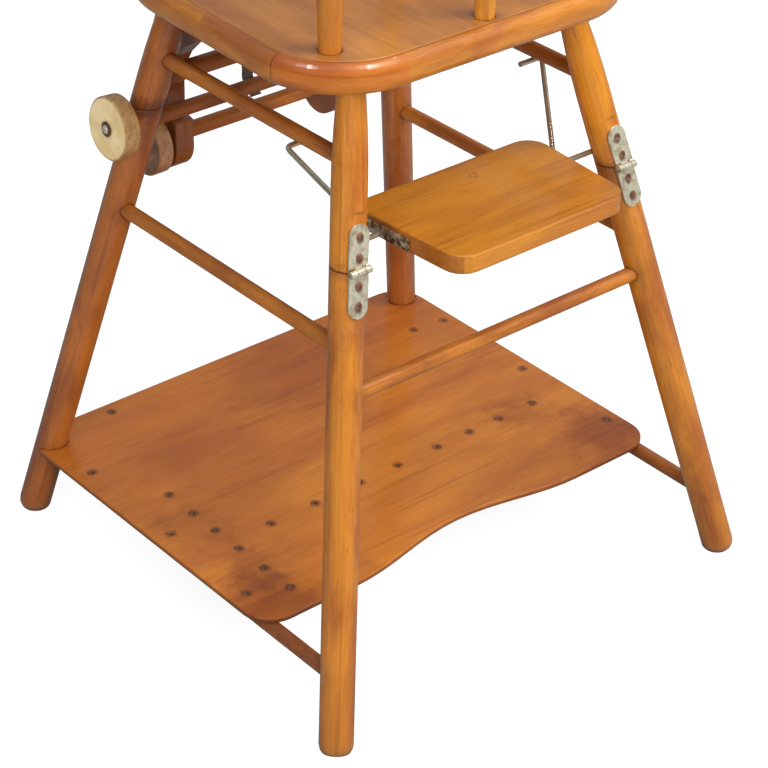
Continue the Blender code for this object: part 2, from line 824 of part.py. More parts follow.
def make_wheel(prefix, side_name, face, outward, collar, tip, holder):
    """A wheel on its shoulder screw. face is the centre of its outer face, outward its axis."""
    centre = face - outward * WHEEL_WIDTH / 2
    frame = aim(centre, centre + outward)
    name = f"{prefix}_wheel_{side_name}"
    turned(name, wheel_profile(), frame, steps=36, closed=True, material="wheel_wood")
    half = WHEEL_WIDTH / 2
    inside = -half - 2 * GAP
    profile = [
        (0, half + 0.0034),
        (0.0026, half + 0.0031),
        (0.0043, half + 0.0019),
        (0.0048, half + 0.0013),
        (0.0072, half + 0.0011),
        (0.0072, half + 2 * GAP),
        (AXLE_RADIUS, half + 2 * GAP),
        (AXLE_RADIUS, inside),
        (COLLAR_RADIUS, inside),
        (COLLAR_RADIUS, inside - collar),
        (AXLE_RADIUS, inside - collar),
        (AXLE_RADIUS, inside - tip),
        (0, inside - tip),
    ]
    turned(f"{prefix}_wheel_axle_{side_name}", profile, frame, steps=14, material="nickel_steel")
    start = centre + outward * (inside - collar)
    stop = centre + outward * (inside - tip - GAP)
    hole = rod(f"{prefix}_axle_hole_{side_name}", start, stop, AXLE_RADIUS + GAP)
    boolean(holder, as_cutter(hole))


def make_wheels(arms):
    for side_name, side in SIDES:
        outward = Vector((side * cos(TABLE_WHEEL_TILT), 0, sin(TABLE_WHEEL_TILT)))
        axis_point = leg_point("rear", side, TABLE_WHEEL_Z)
        face = Vector((side * TABLE_WHEEL_FACE, axis_point.y, TABLE_WHEEL_Z))
        gap_to_leg = TABLE_WHEEL_FACE - WHEEL_WIDTH - abs(axis_point.x) - LEG_RADIUS
        collar = gap_to_leg + 0.0010
        leg = LEGS["rear", "lower", side]
        make_wheel("table", side_name, face, outward, collar, collar + 0.012, leg)
        bottom = face - outward * (WHEEL_WIDTH + 3 * GAP + collar)
        spot_face = rod(f"axle_spot_face_{side_name}", bottom, bottom + outward * 0.02, COLLAR_RADIUS + GAP)
        boolean(leg, as_cutter(spot_face))

        outward = Vector((side, 0, 0))
        face = Vector((side * SEAT_WHEEL_FACE, *SEAT_WHEEL_AXLE))
        gap_to_arm = SEAT_WHEEL_FACE - WHEEL_WIDTH - ARM_INNER - ARM_THICKNESS
        collar = gap_to_arm - 3 * GAP
        make_wheel("seat", side_name, face, outward, collar, collar + 0.009, arms[side])


# ---------------------------------------------------------------- wheel arms and catch


def arm_outline():
    """(y, z) from the seat's underside: shoulder, hollow round the rear rail, neck, step and round foot."""
    top = SEAT_UNDER - GAP
    y, z = SEAT_WHEEL_AXLE
    hollow = [(0.110, 0.512), (0.134, 0.500), (0.152, 0.489), (0.166, 0.4755), (0.1755, 0.460)]
    neck = [(0.1800, 0.442), (0.1805, 0.409), (0.1680, 0.406)]
    foot = arc((y, z), ARM_FOOT_RADIUS, 187, 360, 12)
    back = [(y + ARM_FOOT_RADIUS - 0.003, 0.410), (0.215, 0.440), (0.205, 0.480)]
    back += [(0.190, 0.520), (0.176, top)]
    return [(0.104, top), (0.104, 0.520)] + hollow + neck + foot + back


def make_arms():
    arms = {}
    for side_name, side in SIDES:
        centre_x = side * (ARM_INNER + ARM_THICKNESS / 2)
        frame = frame_of(Vector((centre_x, 0, 0)), Vector((0, 1, 0)), Vector((0, 0, 1)), Vector((1, 0, 0)))
        arm = plate(f"wheel_arm_{side_name}", [arm_outline()], ARM_THICKNESS, frame)
        arms[side] = arm
    start = Vector((-ARM_INNER - 0.008, *SEAT_WHEEL_AXLE))
    stop = Vector((ARM_INNER + 0.008, *SEAT_WHEEL_AXLE))
    rod("arm_cross_rail", start, stop, ARM_RAIL_RADIUS)
    step = Vector((GAP, 0, 0))
    socket = as_cutter(rod("arm_cross_rail_socket", start - step, stop + step, ARM_RAIL_RADIUS + GAP))
    for arm in arms.values():
        boolean(arm, socket)
    return arms


def make_catch():
    """A flat steel spring under the seat: it leans back, and its nose bends forward."""
    path = [(0.1830, SEAT_UNDER - 2 * GAP), (0.1965, 0.432), (0.1965, 0.414), (0.1835, 0.3995)]
    half = CATCH_THICKNESS / 2
    front = [(y - half, z) for y, z in path]
    rear = [(y + half, z) for y, z in reversed(path)]
    frame = frame_of(Vector((0, 0, 0)), Vector((0, 1, 0)), Vector((0, 0, 1)), Vector((1, 0, 0)))
    plate("spring_catch", [front + rear], CATCH_WIDTH, frame, "wire_steel")


# ---------------------------------------------------------------- footrest


def make_footrest():
    """The board, its side plates, and the wires that are both its pivots and its props."""
    front_x = FOOTREST_HALF_WIDTH["front"]
    rear_x = FOOTREST_HALF_WIDTH["rear"]
    corner = FOOTREST_CORNER
    outline = (
        arc((front_x - corner, FOOTREST_FRONT + corner), corner, -90, 0, 6)
        + arc((rear_x - corner, FOOTREST_REAR - corner), corner, 0, 90, 6)
        + arc((-rear_x + corner, FOOTREST_REAR - corner), corner, 90, 180, 6)
        + arc((-front_x + corner, FOOTREST_FRONT + corner), corner, 180, 270, 6)
    )
    middle = FOOTREST_TOP - FOOTREST_THICKNESS / 2
    board = plate("footrest_board", [outline], FOOTREST_THICKNESS, Matrix.Translation((0, 0, middle)))
    bevel(board, 0.0028, segments=2)

    straight = FOOTREST_REAR - FOOTREST_FRONT - 2 * corner
    taper = (rear_x - front_x) / straight
    for side_name, side in SIDES:
        edge_x = front_x + taper * (SIDE_PLATE_PLACE.x - FOOTREST_FRONT - corner) + 2 * GAP
        centre = Vector((side * (edge_x + SIDE_PLATE.x / 2), *SIDE_PLATE_PLACE))
        turn = Matrix.Rotation(-side * taper, 4, "Z")
        box(
            f"footrest_plate_{side_name}",
            (0, 0, 0),
            SIDE_PLATE,
            Matrix.Translation(centre) @ turn,
            "rusty_steel",
        )
        wire_x = edge_x + SIDE_PLATE.x + WIRE_RADIUS + 5 * GAP
        route = [
            (side * 0.1490, *FOOTREST_PIVOT),
            (side * wire_x, *FOOTREST_PIVOT),
            (side * (wire_x + 0.0015), FOOTREST_PIVOT.x + 0.020, FOOTREST_PIVOT.y - 0.002),
            (side * 0.1470, *PROP_END),
            (side * 0.1200, *PROP_END),
        ]
        bar(f"footrest_wire_{side_name}", bent(route, WIRE_BEND), WIRE_RADIUS, material="wire_steel")
        start = Vector((side * 0.120, *FOOTREST_PIVOT))
        stop = Vector((side * 0.1495, *FOOTREST_PIVOT))
        pivot_hole = rod(f"footrest_pivot_hole_{side_name}", start, stop, WIRE_RADIUS + GAP)
        boolean(LEGS["front", "upper", side], as_cutter(pivot_hole))


# ---------------------------------------------------------------- joint axes


def axis_empty(name, place):
    made = bpy.data.objects.new(name, None)
    made.location = place
    made.empty_display_size = 0.03
    CHAIR.objects.link(made)
    return made


def hang(empty, prefixes, parent=None):
    """Parents the pieces whose names start with one of the prefixes, keeping them where they are."""
    bpy.context.view_layer.update()
    pieces = [item for item in CHAIR.objects if item.type == "MESH" and item.name.startswith(prefixes)]
    for piece in pieces:
        piece.parent = empty
        piece.matrix_parent_inverse = empty.matrix_world.inverted()
    if parent:
        empty.parent = parent
        empty.matrix_parent_inverse = parent.matrix_world.inverted()


def make_axes():
    pin = hinge_frame(1).translation
    fold = axis_empty("fold_axis", (0, pin.y, pin.z))
    lower = ("front_leg_lower", "rear_leg_lower", "lower_", "front_rail", "shelf")
    lower += ("hinge_leaf_lower", "hinge_pin", "hinge_screw_lower", "table_wheel")
    hang(fold, lower)
    footrest = axis_empty("footrest_axis", (0, *FOOTREST_PIVOT))
    hang(footrest, ("footrest_board", "footrest_plate", "footrest_wire"))
    catch = axis_empty("catch_axis", (0, 0.1830, SEAT_UNDER))
    hang(catch, ("spring_catch",))


def main():
    for side_name, side in SIDES:
        make_side_rails(side_name, side)
    make_cross_rails()
    rim, panel = make_seat()
    make_posts_and_hoop(rim, panel)
    make_hinges()
    make_shelf()
    arms = make_arms()
    make_wheels(arms)
    make_catch()
    make_footrest()
    make_axes()


main()
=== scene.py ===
"""Looks of the wooden high chair: varnish, grain, wear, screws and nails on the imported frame."""

from math import cos, pi, radians, sin

import bmesh
import bpy
import numpy as np
from mathutils import Matrix, Vector


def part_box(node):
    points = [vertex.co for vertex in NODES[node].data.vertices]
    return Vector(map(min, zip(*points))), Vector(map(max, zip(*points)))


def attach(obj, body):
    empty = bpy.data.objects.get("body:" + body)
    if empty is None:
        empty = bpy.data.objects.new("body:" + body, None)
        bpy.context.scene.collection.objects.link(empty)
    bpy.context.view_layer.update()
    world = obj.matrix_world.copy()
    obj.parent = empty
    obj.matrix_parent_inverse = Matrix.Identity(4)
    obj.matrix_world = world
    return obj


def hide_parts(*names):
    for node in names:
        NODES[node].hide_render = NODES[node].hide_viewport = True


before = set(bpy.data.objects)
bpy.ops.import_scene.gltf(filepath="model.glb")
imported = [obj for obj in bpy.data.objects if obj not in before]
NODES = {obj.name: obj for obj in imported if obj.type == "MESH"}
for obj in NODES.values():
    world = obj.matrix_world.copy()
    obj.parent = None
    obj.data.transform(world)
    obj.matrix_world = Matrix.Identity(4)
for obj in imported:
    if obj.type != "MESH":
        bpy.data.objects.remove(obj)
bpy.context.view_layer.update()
SIDES = ("left", "right")
POSTS = [f"{stem}_{side}" for stem in ("front_post", "back_post") for side in SIDES]
POSTS.append("front_centre_post")
SCREWS = [node for node in NODES if node.startswith("hinge_screw")]

# Camera: metres, degrees and millimetres of lens
CAMERA_PLACE = Vector((-1.2510, -1.4698, 1.3822))
CAMERA_YAW = radians(-40.64)
CAMERA_PITCH = radians(32.25)
CAMERA_ROLL = radians(1.108)
CAMERA_LENS = 111.75

# Lights, world and floor
LIGHTS = (
    # name, place, width, height, power, what it adds: matt light or glints
    ("key", (2.2, -2.1, 2.3), 1.9, 1.9, 106.0, "matt"),
    ("front", (-0.9, -3.0, 1.7), 1.3, 1.3, 66.0, "matt"),
    ("left_fill", (-2.7, -0.8, 1.3), 0.9, 1.4, 34.0, "matt"),
    ("above", (0.46, -1.00, 3.0), 0.8, 0.8, 12.0, "matt"),
    ("back_fill", (0.7, 2.9, 1.3), 1.6, 1.2, 34.0, "matt"),
    ("glint_right", (0.46, -1.22, 3.0), 1.0, 0.5, 66.0, "glints"),
    ("glint_left", (-1.62, -0.09, 2.66), 0.38, 0.38, 19.0, "glints"),
)
LIT_POINT = (0.0, 0.0, 0.35)
BRIGHT_SIDE = (0.1, 0.15, 1.0)
WORLD_DIM = 0.07
WORLD_BRIGHT = 0.34
WORLD_SPREAD = (-0.7, 0.9)
FLOOR_REACH = 8.0
FLOOR_GREY = (0.24, 0.24, 0.24, 1.0)
FLOOR_GLOW = 0.88

# Where the marks are, in metres
SHELF_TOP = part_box("shelf")[1][2]
BATTEN_Y = -0.020
SCARF_X = -0.10
SCARF_Y = -0.083
# Middle of the band of painted shade on the seat panel, where it dips by the rim
DISH_SHADE_X = -0.156
PLUG = (0.012, -0.112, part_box("footrest_board")[1][2])
PLUG_RADIUS = 0.0035
NAIL_RING = 0.0040
# Scorch marks on the shelf, and among them one painted shadow where the board and rails shade it
SCORCHES_AND_SHADOW = (
    # place, radius, strength
    ((-0.218, -0.122, SHELF_TOP), 0.080, 0.80),
    ((-0.192, -0.060, SHELF_TOP), 0.050, 0.45),
    ((0.045, 0.180, SHELF_TOP), 0.120, 0.55),
    ((-0.210, 0.020, SHELF_TOP), 0.055, 0.40),
    ((0.212, -0.108, SHELF_TOP), 0.070, 0.75),
    ((0.170, -0.020, SHELF_TOP), 0.045, 0.45),
    ((-0.120, -0.135, SHELF_TOP), 0.035, 0.35),
)

# Radius and strength of the grime and painted shade round a joint, and strength and reach of the stain
# at a leg's cut
LEG_GRIME_AND_SHADE = (0.024, 0.34)
RAIL_GRIME_AND_SHADE = (0.020, 0.45)
POST_GRIME_AND_SHADE = (0.017, 0.5)
FRONT_CUT = (0.4, 0.010)
REAR_CUT = (0.9, 0.018)

# How often the broad shade changes across and along the grain, per metre
LEG_SHADE = (26.0, 26.0, 8.0)
SHEET_SHADE = (14.0, 14.0, 3.5)

# How far a piece's normals are smoothed over its edges and facets
WOOD_EDGE = 0.0035
METAL_EDGE = 0.0006

# Profiles of small turned shapes, as (radius, height), from the top down
NAIL_PROFILE = ((0, 0.0004), (0.0016, 0.00032), (0.0024, 0.0001), (0.0024, -0.0004), (0, -0.0004))
SCREW_HEAD = (
    (0, 0),
    (0.0014, -0.00005),
    (0.0027, -0.00025),
    (0.0034, -0.00055),
    (0.0038, -0.00085),
    (0.0038, -0.00100),
    (0.0018, -0.00105),
)
SHANK_RADIUS = 0.0018
SLOT_PROFILE = ((0, 0.002), (0.0042, 0.002), (0.0042, -0.0006), (0, -0.0006))
SLOT_SQUEEZE = 0.11
FIRST_SLOT_TURN = 0.5
SLOT_TURN_STEP = 1.3

# What a mark multiplies the colour under it by
# The dirt tint, also used for the painted occlusion shade round the joints
DIRT_AND_SHADE = (0.36, 0.25, 0.20)
DARK_STREAK = (0.62, 0.50, 0.42)
BLOTCH = (0.66, 0.52, 0.46)
GREY_FOOT = (0.68, 0.62, 0.66)
SCARFED_PIECE = (1.0, 0.82, 0.62)
VENEER_STRIPE = (0.72, 0.60, 0.50)
# Painted shade where the seat panel dips by the rim
DISH_SHADE = (0.66, 0.52, 0.40)
SHELF_REAR = (0.84, 0.70, 0.64)
SHELF_RIGHT = (0.78, 0.74, 0.80)
# Tint of the scorch marks and of the painted shadow under the board and rails
SCORCH_AND_SHADOW_TINT = (0.42, 0.26, 0.20)
# Painted shade on the footrest board's faces that look left and right
BOARD_END_SHADE = (0.68, 0.56, 0.50)
HUB_GRIME = (0.70, 0.58, 0.45)
WHEEL_DENTS = (0.72, 0.60, 0.46)
METAL_PITS = (0.55, 0.48, 0.40)


# ---------------------------------------------------------------- colours


def linear(red, green, blue):
    """A colour given as 0-255 screen values, as the linear colour that nodes take."""
    channels = [c / 255 for c in (red, green, blue)]
    return (*[c / 12.92 if c <= 0.04045 else ((c + 0.055) / 1.055) ** 2.4 for c in channels], 1.0)


SCUFFED = linear(150, 100, 66)
BARE_FOOT = linear(96, 66, 48)
LEG_LIGHT, LEG_DARK = linear(204, 130, 32), linear(174, 97, 28)
LOWER_LIGHT, LOWER_DARK = linear(196, 122, 34), linear(158, 86, 28)
REAR_LIGHT, REAR_DARK = linear(174, 100, 38), linear(140, 74, 32)
RAIL_LIGHT, RAIL_DARK = linear(186, 112, 32), linear(148, 80, 28)
POST_LIGHT, POST_DARK = linear(210, 142, 46), linear(180, 108, 34)
# Darker tones, painted shade, for the rails and arms that lie under the seat
SHADED_UNDER_LIGHT, SHADED_UNDER_DARK = linear(156, 88, 34), linear(118, 62, 28)
RIM_LIGHT, RIM_DARK = linear(196, 122, 28), linear(162, 88, 24)
SEAT_LIGHT, SEAT_DARK = linear(198, 130, 46), linear(168, 102, 38)
SHELF_LIGHT, SHELF_DARK = linear(200, 122, 34), linear(176, 98, 30)
BOARD_LIGHT, BOARD_DARK = linear(197, 126, 31), linear(166, 96, 27)
WHEEL_LIGHT, WHEEL_DARK = linear(252, 228, 176), linear(236, 204, 142)
OLD_LIGHT, OLD_DARK = linear(184, 140, 100), linear(140, 98, 68)
TREAD_LIGHT, TREAD_DARK = linear(190, 150, 98), linear(142, 102, 60)
NICKEL_LIGHT, NICKEL_DARK = linear(222, 216, 192), linear(172, 158, 128)
PLATE_LIGHT, PLATE_DARK = linear(206, 192, 156), linear(88, 62, 46)
PIN_LIGHT, PIN_DARK = linear(206, 200, 182), linear(140, 124, 96)
WIRE_LIGHT, WIRE_DARK = linear(214, 206, 182), linear(150, 134, 106)
SPRING_LIGHT, SPRING_DARK = linear(124, 118, 106), linear(84, 74, 62)
AXLE_LIGHT, AXLE_DARK = linear(222, 214, 200), linear(140, 122, 100)
NAIL_LIGHT, NAIL_DARK = linear(150, 132, 110), linear(86, 66, 52)
RUST_LIGHT, RUST_DARK = linear(142, 102, 80), linear(78, 52, 40)
WASHER = linear(104, 78, 58)

LEG_TONES = {
    ("front", "upper"): (LEG_LIGHT, LEG_DARK),
    ("front", "lower"): (LOWER_LIGHT, LOWER_DARK),
    ("rear", "upper"): (REAR_LIGHT, REAR_DARK),
    ("rear", "lower"): (REAR_LIGHT, REAR_DARK),
}
WHEEL_TONES = {
    # kind: the tones of its faces, the tones of its tread
    "seat": ((OLD_LIGHT, OLD_DARK), (OLD_LIGHT, OLD_DARK)),
    "table": ((WHEEL_LIGHT, WHEEL_DARK), (TREAD_LIGHT, TREAD_DARK)),
}


# ---------------------------------------------------------------- node helpers


class Graph:
    """Short calls for building the nodes of one material, or of the world."""

    def __init__(self, owner, shader="Principled BSDF"):
        owner.use_nodes = True
        self.owner = owner
        self.tree = owner.node_tree
        self.shader = self.tree.nodes[shader]

    def node(self, kind, inputs=None, **settings):
        """A new node with these settings, its inputs set or linked."""
        made = self.tree.nodes.new(kind)
        for key, value in settings.items():
            setattr(made, key, value)
        for key, value in (inputs or {}).items():
            self.feed(made.inputs[key], value)
        return made

    def feed(self, socket, value):
        if isinstance(value, bpy.types.NodeSocket):
            self.tree.links.new(value, socket)
        else:
            socket.default_value = value

    def position(self):
        return self.node("ShaderNodeTexCoord").outputs["Object"]

    def math(self, operation, first, second=0.0, third=0.0):
        inputs = {0: first, 1: second, 2: third}
        return self.node("ShaderNodeMath", inputs, operation=operation).outputs[0]

    def gap(self, first, second):
        """How far apart two values are."""
        return self.math("ABSOLUTE", self.math("SUBTRACT", first, second))

    def vector(self, operation, first, second=(0.0, 0.0, 0.0), out="Vector"):
        made = self.node("ShaderNodeVectorMath", {0: first, 1: second}, operation=operation)
        return made.outputs[out]

    def scale(self, vector, factor):
        inputs = {0: vector, "Scale": factor}
        return self.node("ShaderNodeVectorMath", inputs, operation="SCALE").outputs["Vector"]

    def distance(self, position, place):
        return self.vector("DISTANCE", position, tuple(place), out="Value")

    def combine(self, x, y, z):
        return self.node("ShaderNodeCombineXYZ", {"X": x, "Y": y, "Z": z}).outputs[0]

    def split(self, vector):
        made = self.node("ShaderNodeSeparateXYZ", {0: vector})
        return made.outputs["X"], made.outputs["Y"], made.outputs["Z"]

    def radius(self, vector):
        """The distance from the Z axis."""
        x, y, _ = self.split(vector)
        return self.vector("LENGTH", self.combine(x, y, 0.0), out="Value")

    def noise(self, vector, scale, detail=2.0, roughness=0.5, distortion=0.0):
        """Noise at a scale in features per metre: one number, or one for each axis."""
        scales = scale if isinstance(scale, tuple) else (scale, scale, scale)
        scaled = self.vector("MULTIPLY", vector, scales)
        inputs = {"Vector": scaled, "Scale": 1.0, "Detail": detail}
        inputs.update({"Roughness": roughness, "Distortion": distortion})
        return self.node("ShaderNodeTexNoise", inputs).outputs[0]

    def ramp(self, value, low, high, start=0.0, end=1.0):
        """A smooth step from start to end as value goes from low to high."""
        inputs = {"Value": value, "From Min": low, "From Max": high, "To Min": start, "To Max": end}
        made = self.node("ShaderNodeMapRange", inputs, interpolation_type="SMOOTHSTEP")
        return made.outputs[0]

    def mix(self, factor, first, second, blend="MIX"):
        inputs = {0: factor, 6: first, 7: second}
        made = self.node("ShaderNodeMix", inputs, data_type="RGBA", blend_type=blend)
        return made.outputs[2]

    def tinted(self, colour, tint):
        return self.mix(1.0, colour, (*tint, 1.0), "MULTIPLY")

    def darken(self, colour, mask, tint):
        """Tints the colour as far as the mask says."""
        return self.mix(mask, colour, self.tinted(colour, tint))

    def smooth(self, radius):
        """A normal that turns smoothly over edges and over the facets of round pieces."""
        return self.node("ShaderNodeBevel", {"Radius": radius}, samples=6).outputs[0]

    def bump(self, height, strength, distance, onto):
        inputs = {"Height": height, "Strength": strength, "Distance": distance, "Normal": onto}
        return self.node("ShaderNodeBump", inputs).outputs[0]

    def finish(self, **sockets):
        """Sets or links the shader's inputs, and gives back the material."""
        for name, value in sockets.items():
            self.feed(self.shader.inputs[name.replace("_", " ")], value)
        return self.owner


def material(name):
    return Graph(bpy.data.materials.new(name))


def use(node, made):
    """Gives a CAD node this material."""
    mesh = NODES[node].data
    mesh.materials.clear()
    mesh.materials.append(made)


# ---------------------------------------------------------------- measures of the CAD nodes


def mesh_points(node):
    mesh = NODES[node].data
    points = np.zeros(len(mesh.vertices) * 3)
    mesh.vertices.foreach_get("co", points)
    return points.reshape(-1, 3)


def main_directions(points):
    """Three directions, from the one along which the points spread most to the one of least."""
    return np.linalg.svd(points - points.mean(0), full_matrices=False)[2]


def axis_of(node):
    """The centre, the long axis and the half length of a CAD node."""
    points = mesh_points(node)
    centre = (points.max(0) + points.min(0)) / 2
    axis = main_directions(points)[0]
    half = np.abs((points - centre) @ axis).max()
    return Vector(centre), Vector(axis), half


def ends_of(node):
    centre, axis, half = axis_of(node)
    return centre - axis * half, centre + axis * half


def centre_of_foot(node):
    """(x, y) of the middle of a post's lowest 20 mm."""
    points = mesh_points(node)
    foot = points[points[:, 2] < points[:, 2].min() + 0.02]
    return (foot.max(0) + foot.min(0))[:2] / 2


def foremost(node):
    """The point of a node that is nearest the front."""
    points = mesh_points(node)
    return points[points[:, 1].argmin()]


def shift_of(node):
    """A shift along the grain, so that pieces of the same kind look different."""
    return 0.37 * (sum(ord(letter) for letter in node) % 17)


# ---------------------------------------------------------------- wood


def straight_grain(graph, origin, along):
    """Coordinates with Z along the grain."""
    along = Vector(along).normalized()
    side = along.orthogonal().normalized()
    other = along.cross(side)
    moved = graph.vector("SUBTRACT", graph.position(), tuple(origin))
    parts = [graph.vector("DOT_PRODUCT", moved, tuple(v), out="Value") for v in (side, other, along)]
    return graph.combine(*parts)


def bent_grain(graph, half_width, half_depth, corner, centre_y):
    """Coordinates that follow a rounded rectangle: X its inset, Y the height, Z the way round."""
    moved = graph.vector("SUBTRACT", graph.position(), (0.0, centre_y, 0.0))
    x, y, z = graph.split(moved)
    flat = graph.vector("ABSOLUTE", graph.combine(x, y, 0.0))
    corners = graph.vector("SUBTRACT", flat, (half_width - corner, half_depth - corner, 0.0))
    outside = graph.vector("MAXIMUM", corners, (0.0, 0.0, 0.0))
    inset = graph.vector("LENGTH", outside, out="Value")
    angle = graph.math("ARCTAN2", y, x)
    return graph.combine(inset, z, graph.math("MULTIPLY", angle, half_width))


def wood_colour(graph, grain, light, dark, streak=0.45, fleck=0.40, blotch=0.45, shade=LEG_SHADE):
    """Varnished beech: broad shade, long streaks, fine fibres and the short dark flecks of its rays."""
    broad = graph.ramp(graph.noise(grain, shade, 4.0, 0.6, 0.5), 0.36, 0.66)
    colour = graph.mix(broad, light, dark)
    darker = graph.tinted(dark, DARK_STREAK)
    lines = graph.ramp(graph.noise(grain, (210.0, 210.0, 5.0), 3.0, 0.6, 0.15), 0.52, 0.72)
    colour = graph.mix(graph.math("MULTIPLY", lines, streak), colour, darker)
    fibres = graph.noise(grain, (1300.0, 1300.0, 22.0), 2.0, 0.6)
    colour = graph.scale(colour, graph.ramp(fibres, 0.25, 0.75, 0.86, 1.08))
    dashes = graph.ramp(graph.noise(grain, (520.0, 520.0, 70.0), 1.0, 0.5), 0.66, 0.74)
    colour = graph.mix(graph.math("MULTIPLY", dashes, fleck), colour, darker)
    patch = graph.ramp(graph.noise(grain, (34.0, 34.0, 13.0), 4.0, 0.6, 0.6), 0.56, 0.80)
    colour = graph.darken(colour, graph.math("MULTIPLY", patch, blotch), BLOTCH)
    return colour, fibres


def grime_and_shade(graph, colour, spots):
    """Grime and painted occlusion shade round each spot, given as (place, radius, strength), with a
    ragged edge.
    """
    if not spots:
        return colour
    position = graph.position()
    ragged = graph.noise(position, 150.0, 3.0, 0.6)
    total = 0.0
    for place, radius, strength in spots:
        edge = graph.math("MULTIPLY_ADD", ragged, radius, -radius * 0.5)
        away = graph.math("ADD", graph.distance(position, place), edge)
        mask = graph.ramp(away, radius * 0.3, radius, strength, 0.0)
        total = graph.math("MAXIMUM", mask, total)
    return graph.darken(colour, total, DIRT_AND_SHADE)


def varnish(graph, colour, fibres, coat=0.6, gloss=0.12, roughness=0.42, wave=0.05):
    """The finish of every wooden piece: a glossy, slightly uneven coat over the wood."""
    position = graph.position()
    uneven = graph.noise(position, 55.0, 2.0, 0.5)
    surface = graph.bump(uneven, wave, 0.004, graph.smooth(WOOD_EDGE))
    surface = graph.bump(fibres, 0.06, 0.0006, surface)
    wear = graph.noise(position, 45.0, 4.0, 0.65)
    worn = graph.ramp(wear, 0.35, 0.75, roughness - 0.08, roughness + 0.12)
    return graph.finish(
        Base_Color=colour,
        Roughness=worn,
        Coat_Weight=coat,
        Coat_Roughness=gloss,
        Coat_IOR=1.5,
        Normal=surface,
    )


def straight_wood(node, light, dark, along=None, spots=(), marks=None, finish=None, **look):
    """Varnished wood with its grain along the piece, or along the given direction."""
    graph = material(f"{node}_wood")
    centre, axis, _ = axis_of(node)
    grain = straight_grain(graph, centre, along or axis)
    grain = graph.vector("ADD", grain, (0.0, 0.0, shift_of(node)))
    colour, fibres = wood_colour(graph, grain, light, dark, **look)
    colour = grime_and_shade(graph, colour, spots)
    if marks:
        colour = marks(graph, colour)
    use(node, varnish(graph, colour, fibres, **(finish or {})))


def bent_wood(node, corner, light, dark, marks=None, **finish):
    """Varnished wood bent into a rounded rectangle, with its grain going round."""
    low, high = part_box(node)
    middle = (low[1] + high[1]) / 2
    graph = material(f"{node}_wood")
    grain = bent_grain(graph, high[0], high[1] - middle, corner, middle)
    colour, fibres = wood_colour(graph, grain, light, dark)
    if marks:
        colour = marks(graph, colour)
    use(node, varnish(graph, colour, fibres, **finish))


# ---------------------------------------------------------------- legs, rails and posts


def joint_spots(leg, side):
    """Grime and painted occlusion shade where the rails go into a leg."""
    rails = [f"{stem}_{side}" for stem in ("upper_side_rail", "lower_side_rail", "shelf_rail")]
    rails += ["front_rail", "lower_rear_rail", "upper_rear_rail"]
    low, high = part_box(leg)
    spots = []
    for rail in rails:
        for end in ends_of(rail):
            if all(low[i] - 0.01 < end[i] < high[i] + 0.01 for i in range(3)):
                spots.append((end, *LEG_GRIME_AND_SHADE))
    return spots


def foot_marks(graph, colour):
    """Greyer towards the floor, scuffed low down, and worn bare at the end."""
    position = graph.position()
    height = graph.split(position)[2]
    colour = graph.darken(colour, graph.ramp(height, 0.02, 0.11, 0.6, 0.0), GREY_FOOT)
    scuffs = graph.noise(position, (420.0, 420.0, 30.0), 3.0, 0.6)
    worn = graph.math("MULTIPLY_ADD", scuffs, 0.03, graph.math("SUBTRACT", height, 0.015))
    colour = graph.mix(graph.ramp(worn, 0.0, 0.014, 0.62, 0.0), colour, SCUFFED)
    return graph.mix(graph.ramp(height, 0.001, 0.006, 0.75, 0.0), colour, BARE_FOOT)


def leg_marks(node):
    """A dark line and stains at the leg's cut, and a worn foot on a lower half."""
    low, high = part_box(node)
    cut = low[2] if "upper" in node else high[2]
    strength, reach = REAR_CUT if node.startswith("rear") else FRONT_CUT

    def paint(graph, colour):
        position = graph.position()
        away = graph.gap(graph.split(position)[2], cut)
        ragged = graph.noise(position, (90.0, 90.0, 160.0), 4.0, 0.65)
        edge = graph.math("MULTIPLY_ADD", ragged, 0.022, -0.011)
        near = graph.ramp(graph.math("ADD", away, edge), 0.001, reach, strength, 0.0)
        line = graph.ramp(away, 0.0003, 0.0013, 0.9, 0.0)
        colour = graph.darken(colour, graph.math("MAXIMUM", near, line), DIRT_AND_SHADE)
        return foot_marks(graph, colour) if "lower" in node else colour

    return paint


def dress_legs():
    for (end, half), tones in LEG_TONES.items():
        finish = {} if end == "front" else {"coat": 0.9, "gloss": 0.08}
        for side in SIDES:
            node = f"{end}_leg_{half}_{side}"
            spots = joint_spots(node, side)
            straight_wood(node, *tones, spots=spots, marks=leg_marks(node), finish=finish)


def rail_tones(node):
    """The two tones of a rail or a post; shelf and rear rails take darker tones, painted shade for
    lying under the seat.
    """
    if node.startswith("shelf") or "rear_rail" in node:
        return SHADED_UNDER_LIGHT, SHADED_UNDER_DARK
    if "post" in node:
        return POST_LIGHT, POST_DARK
    return RAIL_LIGHT, RAIL_DARK


def dress_rails_and_posts():
    paired = ("lower_side_rail", "upper_side_rail", "shelf_rail", "front_post", "back_post")
    nodes = [f"{stem}_{side}" for stem in paired for side in SIDES]
    nodes += ["front_rail", "lower_rear_rail", "upper_rear_rail", "arm_cross_rail"]
    nodes += ["shelf_batten", "front_centre_post"]
    for node in nodes:
        # Grime and painted occlusion shade round both ends of each rail and post
        spots = [(end, *RAIL_GRIME_AND_SHADE) for end in ends_of(node)]
        straight_wood(node, *rail_tones(node), spots=spots, finish={"coat": 0.40, "gloss": 0.16})
    for side in SIDES:
        # The wheel arms take the darker tones of painted shade under the seat
        straight_wood(f"wheel_arm_{side}", SHADED_UNDER_LIGHT, SHADED_UNDER_DARK, (0.0, 0.0, 1.0), blotch=0.5)


# ---------------------------------------------------------------- seat, back and arms


